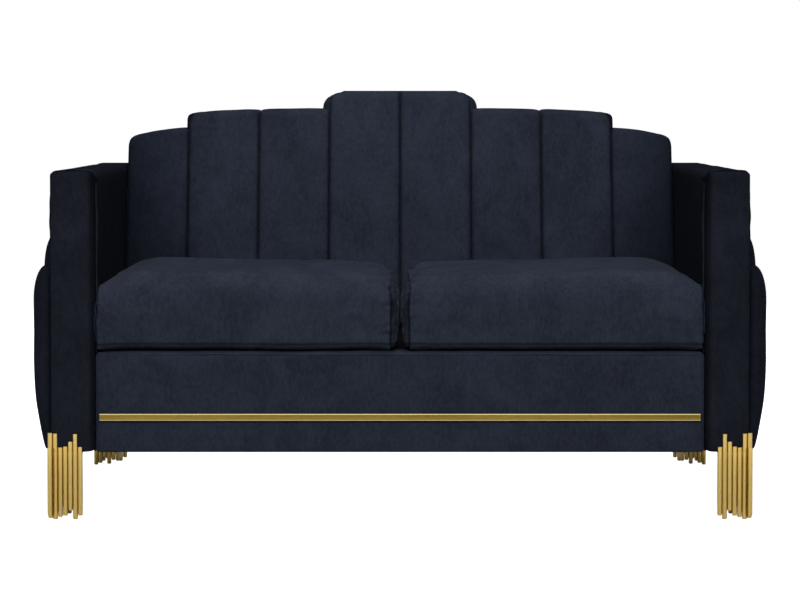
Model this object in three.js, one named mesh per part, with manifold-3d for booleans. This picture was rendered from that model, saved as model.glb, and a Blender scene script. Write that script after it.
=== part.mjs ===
// Two-seat velvet sofa: stepped channelled back, flat padded arms with stepped side channels,
// two loose seat cushions, a brass trim strip and four legs made of brass rods.
// Millimetres, +X to the sitter's left as seen from the front, +Y to the back, +Z up.
// The origin is on the floor under the middle of the sofa.

import * as THREE from 'three';
import { mergeVertices } from 'three/addons/utils/BufferGeometryUtils.js';
import Module from 'manifold-3d';

const wasm = await Module();
wasm.setup();

// ---- driving dimensions ----

const gap = 0.4;                    // clearance between pieces that touch

const bodyDepth = 830;              // front of the arms to the outside of the back
const frontY = -bodyDepth / 2;
const backY = bodyDepth / 2;
const bodyBottom = 140;             // underside of the upholstered body

const armOuter = 729;               // half width over the flat arm sides
const armInner = 634.4;             // half width between the arms
const armTop = 725;
const facingThick = 22;             // padded front face of an arm
const armSkin = 15;                 // outer panel and outside back
const insidePadThick = 20;
const topPadThick = 14;
const armRailTop = 235;             // top of the arm's bottom rail
const armTopRailBottom = 688;
const postDepth = 50;

const railTop = 347;                // top of the upholstered front border
const deckBottom = 338;
const deckTop = 350.5;
const boardThick = 25;              // seat box boards
const seatRailBottom = 205;
const seatBoxBack = 640;            // depth of the seat box behind the arm fronts
const dustCoverThick = 1.6;
const boardBottom = bodyBottom + dustCoverThick + gap;
const stretcherHeight = 58;
const seatHalf = armInner - 0.8;    // half width of the seat box between the arms

const cushionBottom = 351;
const cushionHeight = 168;          // at the front edge
const cushionCrown = 12;            // extra height at the middle
const cushionDepth = 524;
const cushionEdge = 24;             // rounding of its front and back edges
const cushionLift = 2;              // how far its front stands behind the border's face
const cushionGap = 4;               // half the space between the two cushions

const backSlope = 0.252;            // set-back of the back's face per millimetre of height
const backFaceDepth = 527.6;        // depth of that face at the deck
const backFoot = deckTop + 1.5;     // lower end of the channels and their board
const channelThick = 55;
const channelRound = 14;
const backBoardThick = 15;
const hoodThick = 12;
const hoodHalfWidth = 638;

// One tier of channels on each side of the middle: inner and outer edge, and height at each.
const tiers = [
  { inner: 0, outer: 165, innerTop: 897, outerTop: 897, channels: 1 },
  { inner: 165, outer: 493, innerTop: 856, outerTop: 845, channels: 2 },
  { inner: 493, outer: armInner, innerTop: 809, outerTop: 787, channels: 1 },
];

const sideChannelTops = [529, 590, 651, 590, 529];
const sideChannelPitch = 156;
const sideChannelStart = 24;        // depth of the first one's front edge
const sideChannelBulge = 48;
const sideChannelBottom = 141;

const trimHalfLength = 626.7;
const trimBottom = 206;
const trimHeight = 15;
const trimThick = 5;

const rodRadius = 5;
const rodPitch = 10.4;
const rodsPerSide = 7;
const rodSides = 8;
const weldOverlap = 0.6;            // how deep a rod sinks into the core it is welded to
const legOuter = 734;               // half width over the legs
const legPlateThick = 5;
const legCoreBottom = 24;

// Lower and upper ends of the rods of the show row, from the outside inwards.
const showRods = [[3, 181], [0, 180], [5, 151], [8, 153], [18, 163], [0, 179], [8, 152]];
const frontRod = [9, 151];          // one more rod, in front of the first
const hiddenRodBottoms = [6, 14, 0, 9, 4, 17, 2, 11];

const springCount = 5;
const springSpacing = 210;
const springWire = 2;
const springSwing = 24;
const springLoops = 13;
const springHeight = 330;

// ---- materials ----

function finish(color, roughness, metalness) {
  return new THREE.MeshStandardMaterial({ color, roughness, metalness });
}

const velvet = () => finish(0x2b303c, 0.8, 0);
const brass = () => finish(0xc09a4a, 0.3, 1);
const frameWood = () => finish(0xb08a5c, 0.7, 0);
const springSteel = () => finish(0x8a8c90, 0.35, 1);
const blackCloth = () => finish(0x18181a, 0.9, 0);

// ---- shape helpers ----

const sofa = new THREE.Group();

function add(name, geometry, material) {
  const mesh = new THREE.Mesh(geometry, material);
  mesh.name = name;
  sofa.add(mesh);
  return mesh;
}

// A side of +1 is the +X half of the sofa.
const sideName = (side) => (side > 0 ? 'right' : 'left');

const depthToY = (depth) => frontY + depth;

// The depth of the back's padded face at a height.
const backFace = (z) => backFaceDepth + (z - deckTop) * backSlope;

// A plain board or pad, given on the +X half and mirrored for the other side.
function block(side, x, depth, z) {
  const geometry = new THREE.BoxGeometry(x[1] - x[0], depth[1] - depth[0], z[1] - z[0]);
  const middle = [x, depth, z].map(([low, high]) => (low + high) / 2);
  return geometry.translate(side * middle[0], depthToY(middle[1]), middle[2]);
}

// A flat outline of [x, z] points given front-on, made solid between two depths.
function frontOutline(points, fromDepth, toDepth) {
  const shape = new THREE.Shape(points.map(([x, z]) => new THREE.Vector2(x, z)));
  const geometry = new THREE.ExtrudeGeometry(shape, { depth: toDepth - fromDepth, bevelEnabled: false });
  return geometry.rotateX(Math.PI / 2).translate(0, depthToY(toDepth), 0);
}

// A flat outline of [depth, z] points given from the side, made solid between two x values.
function sideOutline(points, fromX, toX) {
  const shape = new THREE.Shape(points.map(([depth, z]) => new THREE.Vector2(depthToY(depth), z)));
  const geometry = new THREE.ExtrudeGeometry(shape, { depth: toX - fromX, bevelEnabled: false });
  return geometry.rotateX(Math.PI / 2).rotateZ(Math.PI / 2).translate(fromX, 0, 0);
}

function roundedRectangle(width, height, radius) {
  const shape = new THREE.Shape();
  const right = width / 2 - radius;
  const up = height / 2 - radius;
  shape.absarc(right, up, radius, 0, Math.PI / 2);
  shape.absarc(-right, up, radius, Math.PI / 2, Math.PI);
  shape.absarc(-right, -up, radius, Math.PI, 1.5 * Math.PI);
  shape.absarc(right, -up, radius, 1.5 * Math.PI, 2 * Math.PI);
  return shape;
}

// A plate whose front edges are bevelled; its flat back lies in the plane y = 0.
function facePlate(width, height, thick, bevel, corner) {
  const shape = roundedRectangle(width - 2 * bevel, height - 2 * bevel, corner);
  const rounding = { bevelThickness: bevel, bevelSize: bevel, bevelSegments: 2 };
  const settings = { depth: thick - bevel, curveSegments: 3, ...rounding };
  const geometry = new THREE.ExtrudeGeometry(shape, settings);
  geometry.rotateX(Math.PI / 2);
  return movePoints(geometry, (point) => {
    point.y = Math.min(point.y, 0);
  });
}

function movePoints(geometry, change) {
  const points = geometry.attributes.position;
  const point = new THREE.Vector3();
  for (let i = 0; i < points.count; i += 1) {
    point.fromBufferAttribute(points, i);
    change(point);
    points.setXYZ(i, point.x, point.y, point.z);
  }
  return geometry;
}

// A copy for the given side: a mirrored one has its faces turned outwards again.
function mirrored(geometry, side) {
  if (side > 0) {
    return geometry.clone();
  }
  const flipped = geometry.index ? geometry.toNonIndexed() : geometry;
  const points = flipped.attributes.position;
  const turned = [];
  for (let i = 0; i < points.count; i += 3) {
    for (const corner of [i, i + 2, i + 1]) {
      turned.push(-points.getX(corner), points.getY(corner), points.getZ(corner));
    }
  }
  const result = new THREE.BufferGeometry();
  result.setAttribute('position', new THREE.Float32BufferAttribute(turned, 3));
  return result;
}

function toSolid(geometry) {
  const bare = geometry.clone();
  bare.deleteAttribute('normal');
  bare.deleteAttribute('uv');
  const merged = mergeVertices(bare, 1e-4);
  const vertProperties = new Float32Array(merged.attributes.position.array);
  const triVerts = new Uint32Array(merged.index.array);
  return new wasm.Manifold(new wasm.Mesh({ numProp: 3, vertProperties, triVerts }));
}

function toGeometry(solid) {
  const mesh = solid.getMesh();
  const geometry = new THREE.BufferGeometry();
  geometry.setAttribute('position', new THREE.Float32BufferAttribute(mesh.vertProperties, 3));
  geometry.setIndex(new THREE.Uint32BufferAttribute(mesh.triVerts, 1));
  return geometry;
}

// ---- arms ----

function addArmFrame(side) {
  const name = sideName(side);
  const x = [armInner + insidePadThick + gap, armOuter - armSkin - gap];
  const whole = [facingThick + gap, bodyDepth - armSkin - gap];
  const frontPost = [whole[0], whole[0] + postDepth];
  const rearPost = [whole[1] - postDepth, whole[1]];
  const postHeight = [armRailTop + gap, armTopRailBottom - gap];
  const bottomRail = block(side, [armInner, x[1]], whole, [boardBottom, armRailTop]);
  const topRail = block(side, x, whole, [armTopRailBottom, armTop - topPadThick - gap]);
  add(`arm_bottom_rail_${name}`, bottomRail, frameWood());
  add(`arm_front_post_${name}`, block(side, x, frontPost, postHeight), frameWood());
  add(`arm_rear_post_${name}`, block(side, x, rearPost, postHeight), frameWood());
  add(`arm_top_rail_${name}`, topRail, frameWood());
}

function addArmPads(side) {
  const name = sideName(side);
  const behindFacing = facingThick + gap;
  const beforeBack = bodyDepth - armSkin - gap;
  const underTopPad = armTop - topPadThick - gap;
  const insideX = [armInner, armInner + insidePadThick];
  const outsideX = [armOuter - armSkin, armOuter];
  const insidePad = block(side, insideX, [behindFacing, beforeBack], [armRailTop + gap, underTopPad]);
  const outsidePanel = block(side, outsideX, [behindFacing, beforeBack], [bodyBottom, underTopPad]);
  const wholeX = [armInner, armOuter];
  const topPad = block(side, wholeX, [behindFacing, beforeBack], [armTop - topPadThick, armTop]);
  add(`inside_arm_pad_${name}`, insidePad, velvet());
  add(`outside_arm_panel_${name}`, outsidePanel, velvet());
  add(`arm_top_pad_${name}`, topPad, velvet());
}

function addArmFacing(side) {
  const width = armOuter - armInner;
  const height = armTop - bodyBottom;
  const geometry = facePlate(width, height, facingThick, 5, 6);
  geometry.translate(0, facingThick, 0);
  geometry.translate(side * (armInner + width / 2), frontY, bodyBottom + height / 2);
  add(`arm_facing_${sideName(side)}`, geometry, velvet());
}

// How far a side channel stands out at a share of its height, 0 at the bottom and 1 at the top.
function sideBulge(share) {
  const lower = 0.47 + 0.53 * Math.sin(Math.PI / 2 * Math.min(share / 0.55, 1));
  const upper = share < 0.8 ? 1 : Math.sqrt(Math.max(1 - ((share - 0.8) / 0.2) ** 2, 0.12));
  return sideChannelBulge * lower * upper;
}

// An upright padded channel: a half-round section that swells and shrinks with height.
function sideChannel(width, top) {
  const arcSteps = 6;
  const heightSteps = 9;
  const half = new THREE.Shape();
  half.moveTo(0, 0);
  for (let i = 0; i <= arcSteps; i += 1) {
    const angle = Math.PI * i / arcSteps;
    half.lineTo(Math.sin(angle) ** 0.7, (1 - Math.cos(angle)) / 2);
  }
  const geometry = new THREE.ExtrudeGeometry(half, { depth: 1, steps: heightSteps, bevelEnabled: false });
  const height = top - sideChannelBottom;
  movePoints(geometry, (point) => {
    const share = Math.sin(Math.PI / 2 * point.z);
    point.x *= sideBulge(share);
    point.y *= width;
    point.z = sideChannelBottom + height * share;
  });
  return geometry;
}

function addSideChannels(side) {
  sideChannelTops.forEach((top, index) => {
    const geometry = sideChannel(sideChannelPitch - gap, top);
    const depth = sideChannelStart + index * sideChannelPitch;
    geometry.translate(armOuter + gap, depthToY(depth), 0);
    add(`side_channel_${sideName(side)}_${index + 1}`, mirrored(geometry, side), velvet());
  });
}

// ---- back ----

// The whole stepped outline above a level, drawn in by an inset at its sides and top.
function steppedOutline(inset, outerHalf, bottom) {
  const [middle, second, outer] = tiers;
  const half = [
    [outerHalf, bottom + inset],
    [outerHalf, outer.outerTop],
    [outer.inner, outer.innerTop],
    [outer.inner, second.outerTop],
    [second.inner, second.innerTop],
    [second.inner, middle.outerTop],
  ].map(([x, z]) => [x - inset, z - inset]);
  const otherHalf = half.map(([x, z]) => [-x, z]).reverse();
  return [...half, ...otherHalf];
}

// A channel whose face leans back, with rounded front edges and a top that may slope sideways.
function backChannel(inner, outer, innerTop, outerTop) {
  const width = outer - inner - gap;
  const section = new THREE.Shape();
  section.moveTo(width, channelThick);
  section.lineTo(0, channelThick);
  section.absarc(channelRound, channelRound, channelRound, Math.PI, 1.5 * Math.PI);
  section.absarc(width - channelRound, channelRound, channelRound, 1.5 * Math.PI, 2 * Math.PI);
  const bottom = backFoot;
  const settings = { depth: 1, bevelEnabled: false, curveSegments: 4 };
  const geometry = new THREE.ExtrudeGeometry(section, settings);
  movePoints(geometry, (point) => {
    const top = innerTop + (outerTop - innerTop) * point.x / width;
    point.z = bottom + (top - bottom) * point.z;
    point.y = depthToY(backFace(point.z) + point.y);
    point.x += inner + gap / 2;
  });
  return geometry;
}

function addBackChannels(side) {
  let number = 0;
  for (const tier of tiers) {
    const width = (tier.outer - tier.inner) / tier.channels;
    const drop = (tier.outerTop - tier.innerTop) / tier.channels;
    for (let i = 0; i < tier.channels; i += 1) {
      number += 1;
      const inner = tier.inner + i * width;
      const innerTop = tier.innerTop + i * drop;
      const geometry = backChannel(inner, inner + width, innerTop, innerTop + drop);
      add(`back_channel_${sideName(side)}_${number}`, mirrored(geometry, side), velvet());
    }
  }
}

function leanBack(geometry) {
  return movePoints(geometry, (point) => {
    point.y += backFace(point.z);
  });
}

function addBackBoard() {
  const outline = steppedOutline(hoodThick + gap, hoodHalfWidth, backFoot);
  const from = channelThick + gap;
  const geometry = leanBack(frontOutline(outline, from, from + backBoardThick));
  add('back_support_board', geometry, frameWood());
}

// The band of padding over the stepped top, from the channels to the outside back.
function addBackHood() {
  const bottom = armTop + gap;
  const outer = steppedOutline(0, hoodHalfWidth, bottom);
  const inner = steppedOutline(hoodThick, hoodHalfWidth, bottom - 1);
  const band = toSolid(frontOutline(outer, backFaceDepth, bodyDepth - armSkin - gap));
  const cavity = toSolid(frontOutline(inner, backFaceDepth - 1, bodyDepth));
  const above = [[-armOuter, bodyBottom], [armOuter, bodyBottom], [armOuter, 1000], [-armOuter, 1000]];
  const channels = toSolid(leanBack(frontOutline(above, -bodyDepth / 2, channelThick + gap)));
  const hood = band.subtract(cavity).subtract(channels);
  add('back_top_cover', toGeometry(hood), velvet());
}

function addOutsideBack() {
  const upper = steppedOutline(0, hoodHalfWidth, armTop);
  const outline = [[armOuter, bodyBottom], [armOuter, armTop], ...upper, [-armOuter, armTop], [-armOuter, bodyBottom]];
  const geometry = frontOutline(outline, bodyDepth - armSkin, bodyDepth);
  add('outside_back_panel', geometry, velvet());
}

function addBackUpright(side) {
  const thick = 24;
  const place = (tiers[1].inner + tiers[1].outer) / 2;
  const top = tiers[1].outerTop - hoodThick - 3;
  const behindBoard = channelThick + backBoardThick + 1;
  const foot = seatBoxBack + 1;
  const bend = deckTop + (foot - behindBoard - backFaceDepth) / backSlope;
  const rear = bodyDepth - armSkin - gap;
  const lower = [[foot, bend], [foot, boardBottom], [rear, boardBottom]];
  const outline = [...lower, [rear, top], [backFace(top) + behindBoard, top]];
  const geometry = sideOutline(outline, side * place - thick / 2, side * place + thick / 2);
  add(`back_upright_${sideName(side)}`, geometry, frameWood());
}

// ---- seat ----

function addSeatBox() {
  const half = seatHalf;
  const front = facingThick - 1;
  const boards = [boardBottom, deckBottom - gap];
  const upperBoards = [seatRailBottom, deckBottom - gap];
  const behindFront = front + boardThick + gap;
  const rearBoard = [seatBoxBack - boardThick, seatBoxBack];
  add('seat_front_rail', block(1, [-half, half], [front, front + boardThick], boards), frameWood());
  add('seat_rear_rail', block(1, [-half, half], rearBoard, upperBoards), frameWood());
  for (const side of [-1, 1]) {
    const board = block(side, [half - boardThick, half], [behindFront, rearBoard[0] - gap], upperBoards);
    add(`seat_side_rail_${sideName(side)}`, board, frameWood());
  }
  const stretcherZ = [boardBottom, boardBottom + stretcherHeight];
  const stretcherDepth = [behindFront, bodyDepth - armSkin - gap];
  const stretcher = block(1, [-boardThick / 2, boardThick / 2], stretcherDepth, stretcherZ);
  add('seat_centre_stretcher', stretcher, frameWood());
}

function addSeatCovers() {
  const half = seatHalf;
  const border = block(1, [-half, half], [0, facingThick - 1 - gap], [bodyBottom, railTop]);
  add('front_border', border, velvet());
  const deck = block(1, [-half, half], [facingThick - 1, seatBoxBack], [deckBottom, deckTop]);
  add('seat_deck', deck, blackCloth());
  const dustZ = [bodyBottom, bodyBottom + dustCoverThick];
  const dust = block(1, [-half, half], [facingThick - 1, bodyDepth - armSkin - gap], dustZ);
  add('dust_cover', dust, blackCloth());
}

function addTrim() {
  const geometry = facePlate(2 * trimHalfLength, trimHeight, trimThick, 1.5, 0.5);
  geometry.translate(0, frontY - gap, trimBottom + trimHeight / 2);
  add('brass_trim_strip', geometry, brass());
}

// A flat zigzag spring that runs from the front rail to the rear rail.
function addSpring(number, x) {
  const start = facingThick + boardThick + 1;
  const length = seatBoxBack - boardThick - 2 - start;
  const points = [];
  for (let i = 0; i <= 2 * springLoops; i += 1) {
    const swing = i === 0 || i === 2 * springLoops ? 0 : springSwing * (i % 2 === 0 ? -1 : 1);
    const depth = start + length * i / (2 * springLoops);
    points.push(new THREE.Vector3(x + swing, depthToY(depth), springHeight));
  }
  const path = new THREE.CatmullRomCurve3(points, false, 'catmullrom', 0.5);
  const wire = new THREE.Shape();
  wire.absarc(0, 0, springWire, 0, 2 * Math.PI);
  const settings = { steps: 4 * springLoops, curveSegments: 2, extrudePath: path, bevelEnabled: false };
  add(`seat_spring_${number}`, new THREE.ExtrudeGeometry(wire, settings), springSteel());
}

function addSprings() {
  for (let i = 0; i < springCount; i += 1) {
    addSpring(i + 1, (i - (springCount - 1) / 2) * springSpacing);
  }
}

// A box cushion with rounded edges and a gently crowned top.
function addCushion(side) {
  const width = armInner - 2.4 - cushionGap;
  const shape = roundedRectangle(width - 2 * cushionEdge, cushionHeight - 2 * cushionEdge, 4);
  const rounding = { bevelThickness: cushionEdge, bevelSize: cushionEdge, bevelSegments: 3 };
  const settings = { depth: cushionDepth - 2 * cushionEdge, steps: 4, curveSegments: 2, ...rounding };
  const geometry = new THREE.ExtrudeGeometry(shape, settings);
  geometry.rotateX(Math.PI / 2).translate(0, cushionDepth - cushionEdge, cushionHeight / 2);
  movePoints(geometry, (point) => {
    const along = Math.cos(Math.PI * (point.y / cushionDepth - 0.5));
    point.z += point.z > cushionHeight / 2 ? cushionCrown * along : 0;
  });
  geometry.translate(side * (cushionGap + width / 2), depthToY(cushionLift), cushionBottom);
  add(`seat_cushion_${sideName(side)}`, geometry, velvet());
}

// ---- legs ----

function rod(x, y, [bottom, top]) {
  const geometry = new THREE.CylinderGeometry(rodRadius, rodRadius, top - bottom, rodSides);
  geometry.rotateX(Math.PI / 2).translate(x, y, (bottom + top) / 2);
  return toSolid(geometry);
}

// The welded bundle for the front corner on the +X side.
function legBundle() {
  const reach = (rodsPerSide - 1) * rodPitch;
  const outerX = legOuter - rodRadius;
  const innerX = outerX - reach + rodPitch;      // the hidden rows stop one rod short of the front row
  const showY = frontY - rodRadius - gap;
  const middleX = (outerX + innerX) / 2;
  const middleY = showY + reach / 2;
  const plateTop = bodyBottom - gap;
  const inset = 2 * (rodRadius - weldOverlap);
  const coreHeight = plateTop - legPlateThick - legCoreBottom;
  const core = new THREE.BoxGeometry(outerX - innerX - inset, reach - inset, coreHeight);
  core.translate(middleX, middleY, (plateTop - legPlateThick + legCoreBottom) / 2);
  const plate = new THREE.BoxGeometry(reach, reach, legPlateThick + 1);
  plate.translate(outerX - reach / 2, middleY, plateTop - (legPlateThick + 1) / 2);
  let leg = toSolid(core).add(toSolid(plate));
  showRods.forEach((ends, i) => {
    leg = leg.add(rod(outerX - i * rodPitch, showY, ends));
  });
  leg = leg.add(rod(outerX, showY - 2 * rodRadius + weldOverlap, frontRod));
  let count = 0;
  const addHidden = (x, y) => {
    leg = leg.add(rod(x, y, [hiddenRodBottoms[count % hiddenRodBottoms.length], plateTop]));
    count += 1;
  };
  for (let i = 1; i < rodsPerSide; i += 1) {
    addHidden(outerX, showY + i * rodPitch);
    addHidden(innerX, showY + i * rodPitch);
  }
  for (let i = 1; i < rodsPerSide - 2; i += 1) {
    addHidden(outerX - i * rodPitch, showY + reach);
  }
  return toGeometry(leg);
}

function addLegs() {
  const front = legBundle();
  for (const side of [-1, 1]) {
    const name = sideName(side);
    add(`leg_front_${name}`, mirrored(front, side), brass());
    const rear = mirrored(front, -side).rotateZ(Math.PI);
    add(`leg_rear_${name}`, rear, brass());
  }
}

// ---- the sofa ----

for (const side of [-1, 1]) {
  addArmFrame(side);
  addArmPads(side);
  addArmFacing(side);
  addSideChannels(side);
  addBackChannels(side);
  addBackUpright(side);
  addCushion(side);
}
addBackBoard();
addBackHood();
addOutsideBack();
addSeatBox();
addSeatCovers();
addTrim();
addSprings();
addLegs();

export default sofa;
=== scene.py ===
import math

import bpy
import numpy as np
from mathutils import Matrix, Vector, noise


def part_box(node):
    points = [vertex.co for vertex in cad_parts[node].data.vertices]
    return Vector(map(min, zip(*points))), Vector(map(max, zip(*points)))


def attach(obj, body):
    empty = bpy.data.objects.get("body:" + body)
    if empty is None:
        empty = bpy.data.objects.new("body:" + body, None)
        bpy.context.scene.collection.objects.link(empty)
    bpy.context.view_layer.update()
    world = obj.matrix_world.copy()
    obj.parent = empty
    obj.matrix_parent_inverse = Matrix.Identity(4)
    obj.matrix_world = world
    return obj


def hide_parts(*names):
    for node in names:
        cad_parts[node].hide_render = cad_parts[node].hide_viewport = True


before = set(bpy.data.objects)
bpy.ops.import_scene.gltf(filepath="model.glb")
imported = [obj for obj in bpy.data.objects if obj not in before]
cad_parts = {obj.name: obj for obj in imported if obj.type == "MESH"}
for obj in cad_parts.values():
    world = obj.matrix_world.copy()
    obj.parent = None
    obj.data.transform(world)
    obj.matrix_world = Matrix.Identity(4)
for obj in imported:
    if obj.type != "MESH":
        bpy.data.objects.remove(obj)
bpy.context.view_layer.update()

# Two-seat velvet sofa with a stepped channel back, on brass rod legs. Metres, +Z up, +Y to the back.

mm = 0.001
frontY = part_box("arm_facing_right")[0].y      # plane of the arm fronts
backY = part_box("outside_back_panel")[1].y     # plane of the outside back


# ---- small helpers ----

def clearSelection():
    if bpy.context.object and bpy.context.object.mode != "OBJECT":
        bpy.ops.object.mode_set(mode="OBJECT")
    bpy.ops.object.select_all(action="DESELECT")


def makeActive(piece):
    clearSelection()
    piece.select_set(True)
    bpy.context.view_layer.objects.active = piece


def namePiece(name):
    piece = bpy.context.object
    piece.name = name
    piece.data.name = name
    return piece


def applyPlace(piece):
    makeActive(piece)
    bpy.ops.object.transform_apply(location=True, rotation=True, scale=True)


def applyModifier(piece, kind, **values):
    makeActive(piece)
    modifier = piece.modifiers.new(kind.lower(), kind)
    for key, value in values.items():
        setattr(modifier, key, value)
    bpy.ops.object.modifier_apply(modifier=modifier.name)


def readPoints(piece):
    points = np.empty(len(piece.data.vertices) * 3)
    piece.data.vertices.foreach_get("co", points)
    return points.reshape(-1, 3)


def writePoints(piece, points):
    piece.data.vertices.foreach_set("co", points.reshape(-1))
    piece.data.update()


# Points from millimetres, with y as the depth behind the arm fronts.
def placed(x, y, z):
    return np.stack([x * mm, frontY + y * mm, z * mm], axis=1)


def readNormals(piece):
    normals = np.empty(len(piece.data.vertices) * 3)
    piece.data.vertices.foreach_get("normal", normals)
    return normals.reshape(-1, 3)


def smoothStep(value, start, end):
    share = np.clip((value - start) / (end - start), 0, 1)
    return share * share * (3 - 2 * share)


def ridge(value, place, width):
    return np.exp(-((value - place) / width) ** 2)


def cloudiness(points, size, seed):
    shift = Vector((seed * 3.7, seed * 1.3, seed * 2.1))
    return np.array([noise.noise(Vector(p) / size + shift) for p in points])


# Soft unevenness in layers, each with a size in metres, a height in mm and a step to its own seed.
def unevenness(points, layers, seed):
    return sum(cloudiness(points, size, seed + step) * height for size, height, step in layers)


# Records painted shade for each point, from 0 to 1, for the velvet to darken: near seams, where the valleys
# lie in shade, and wherever else shade falls.
def paintShade(piece, shares):
    layer = piece.data.attributes.new("paintedShade", "FLOAT", "POINT")
    layer.data.foreach_set("value", np.clip(shares, 0, 1))


def recalculateNormals(piece):
    makeActive(piece)
    bpy.ops.object.mode_set(mode="EDIT")
    bpy.ops.mesh.select_all(action="SELECT")
    bpy.ops.mesh.remove_doubles(threshold=0.00002)
    bpy.ops.mesh.normals_make_consistent(inside=False)
    bpy.ops.object.mode_set(mode="OBJECT")


def shadeSmooth(piece, angle=None):
    makeActive(piece)
    if angle is None:
        bpy.ops.object.shade_smooth()
    else:
        bpy.ops.object.shade_smooth_by_angle(angle=math.radians(angle))


def setMaterial(piece, material):
    piece.data.materials.clear()
    piece.data.materials.append(material)


def finishPiece(piece, body, material, nodes=()):
    setMaterial(piece, material)
    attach(piece, body)
    if nodes:
        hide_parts(*nodes)


# Adds a shader node. inputs gives its sockets their values, and the options are the node's own.
def addNode(nodes, kind, inputs=None, **options):
    node = nodes.new(kind)
    for option, value in options.items():
        setattr(node, option, value)
    for label, value in (inputs or {}).items():
        node.inputs[label].default_value = value
    return node


# Joins sockets. Each wire is a node and its output, then a node and its input.
def connect(links, *wires):
    for source, output, target, entry in wires:
        links.new(source.outputs[output], target.inputs[entry])


# ---- camera, lights, floor ----

view = {
    "distance": 5.15,       # from the arm fronts
    "height": 0.875,
    "pitch": 2.232,         # degrees below level
    "lens": 111.6,
    "shiftY": -0.139,
}


def makeCamera():
    bpy.ops.object.camera_add(
        location=(0, frontY - view["distance"], view["height"]),
        rotation=(math.radians(90 - view["pitch"]), 0, 0))
    camera = bpy.context.object
    camera.data.lens = view["lens"]
    camera.data.sensor_width = 36
    camera.data.shift_y = view["shiftY"]
    camera.data.clip_end = 1000
    bpy.context.scene.camera = camera


def addArea(name, place, aim, size, power):
    clearSelection()
    bpy.ops.object.light_add(type="AREA", location=place)
    lamp = bpy.context.object
    lamp.name = name
    lamp.data.shape = "RECTANGLE"
    lamp.data.size, lamp.data.size_y = size
    lamp.data.energy = power
    lamp.visible_glossy = False      # the brass reflects the even surroundings instead
    lamp.visible_camera = False
    lamp.rotation_euler = (Vector(aim) - Vector(place)).to_track_quat("-Z", "Y").to_euler()


def makeLights():
    addArea("keyLight", (0, -3.8, 3.2), (0, 0, 0.5), (2.2, 1.2), 165)
    addArea("topLight", (0, -0.4, 3.2), (0, -0.2, 0.4), (1.0, 0.6), 30)
    addArea("backLight", (0, 4.6, 1.7), (0, 0.4, 0.5), (2.4, 1.2), 110)
    for side in (-1, 1):       # low enough that the near arm keeps them off the far one
        addArea("sideLight", (side * 4.4, 1.9, 0.5), (side * 0.7, 0.2, 0.4), (1.6, 0.7), 60)


studio = {
    "room": 0.05,               # brightness of the light that comes from all round
    "roomTint": (0.86, 0.9, 1, 1),
    "glow": 0.78,               # what the metal reflects, level with it
    "glowAbove": 2.2,           # and overhead, as under a soft box
    "floorTone": (0.8, 0.8, 0.8, 1),
    "floorGlow": 0.97,
    "floorSize": 400,
}


def makeWorld():
    world = bpy.data.worlds.new("studio")
    bpy.context.scene.world = world
    world.use_nodes = True
    nodes, links = world.node_tree.nodes, world.node_tree.links
    nodes.clear()
    output = addNode(nodes, "ShaderNodeOutputWorld")
    mix = addNode(nodes, "ShaderNodeMixShader")
    path = addNode(nodes, "ShaderNodeLightPath")
    reflected = addNode(nodes, "ShaderNodeMixShader")
    glow = addNode(nodes, "ShaderNodeBackground", {"Color": (1, 1, 1, 1)})
    room = addNode(nodes, "ShaderNodeBackground", {"Color": studio["roomTint"], "Strength": studio["room"]})
    paper = addNode(nodes, "ShaderNodeBackground", {"Color": (1, 1, 1, 1), "Strength": 1.0})
    way = addNode(nodes, "ShaderNodeTexCoord")
    split = addNode(nodes, "ShaderNodeSeparateXYZ")
    height = addNode(nodes, "ShaderNodeMapRange", {
        "From Min": 0.1, "From Max": 0.8, "To Min": studio["glow"], "To Max": studio["glowAbove"]})
    connect(links,
            (way, "Generated", split, "Vector"),
            (split, "Z", height, "Value"),
            (height, "Result", glow, "Strength"),
            (path, "Is Camera Ray", mix, "Fac"),
            (path, "Is Glossy Ray", reflected, "Fac"),
            (room, "Background", reflected, 1),
            (glow, "Background", reflected, 2),
            (reflected, "Shader", mix, 1),
            (paper, "Background", mix, 2),
            (mix, "Shader", output, "Surface"))
    bpy.context.scene.view_settings.view_transform = "Standard"
    bpy.context.scene.view_settings.look = "None"


def makeFloor():
    clearSelection()
    bpy.ops.mesh.primitive_plane_add(size=studio["floorSize"], location=(0, 0, 0))
    floor = namePiece("floor")
    material = bpy.data.materials.new("paleFloor")
    material.use_nodes = True
    nodes, links = material.node_tree.nodes, material.node_tree.links
    nodes.clear()
    output = addNode(nodes, "ShaderNodeOutputMaterial")
    plain = addNode(nodes, "ShaderNodeBsdfDiffuse", {"Color": studio["floorTone"]})
    glow = addNode(nodes, "ShaderNodeEmission")
    add = addNode(nodes, "ShaderNodeAddShader")
    path = addNode(nodes, "ShaderNodeLightPath")
    strength = addNode(nodes, "ShaderNodeMath", {1: studio["floorGlow"]}, operation="MULTIPLY")
    connect(links,
            (path, "Is Camera Ray", strength, 0),
            (strength, 0, glow, "Strength"),
            (plain, 0, add, 0),
            (glow, 0, add, 1),
            (add, 0, output, "Surface"))
    setMaterial(floor, material)


makeCamera()
makeLights()
makeWorld()
makeFloor()
print("camera, lights and floor are ready")


# ---- materials ----

def newGroup(name, inputs, outputs):
    group = bpy.data.node_groups.new(name, "ShaderNodeTree")
    for label, kind, value in inputs:
        socket = group.interface.new_socket(name=label, in_out="INPUT", socket_type=kind)
        socket.default_value = value
    for label, kind in outputs:
        group.interface.new_socket(name=label, in_out="OUTPUT", socket_type=kind)
    return group


velvet = {
    "strokes": 0.34,            # share of the tone from where a hand has brushed the pile
    "blotches": 0.22,
    "tufts": 0.44,
    "shadeColor": (0.0016, 0.0019, 0.0030, 1),     # painted shade: beside seams, inside the arms and on parts out of sight
    "shadeStrength": 0.85,
    "sheenRoughness": 0.3,
    "sheenTint": (0.5, 0.58, 0.78, 1),
    "relief": 0.45,
    "reliefDepth": 0.0012,
}


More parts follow.
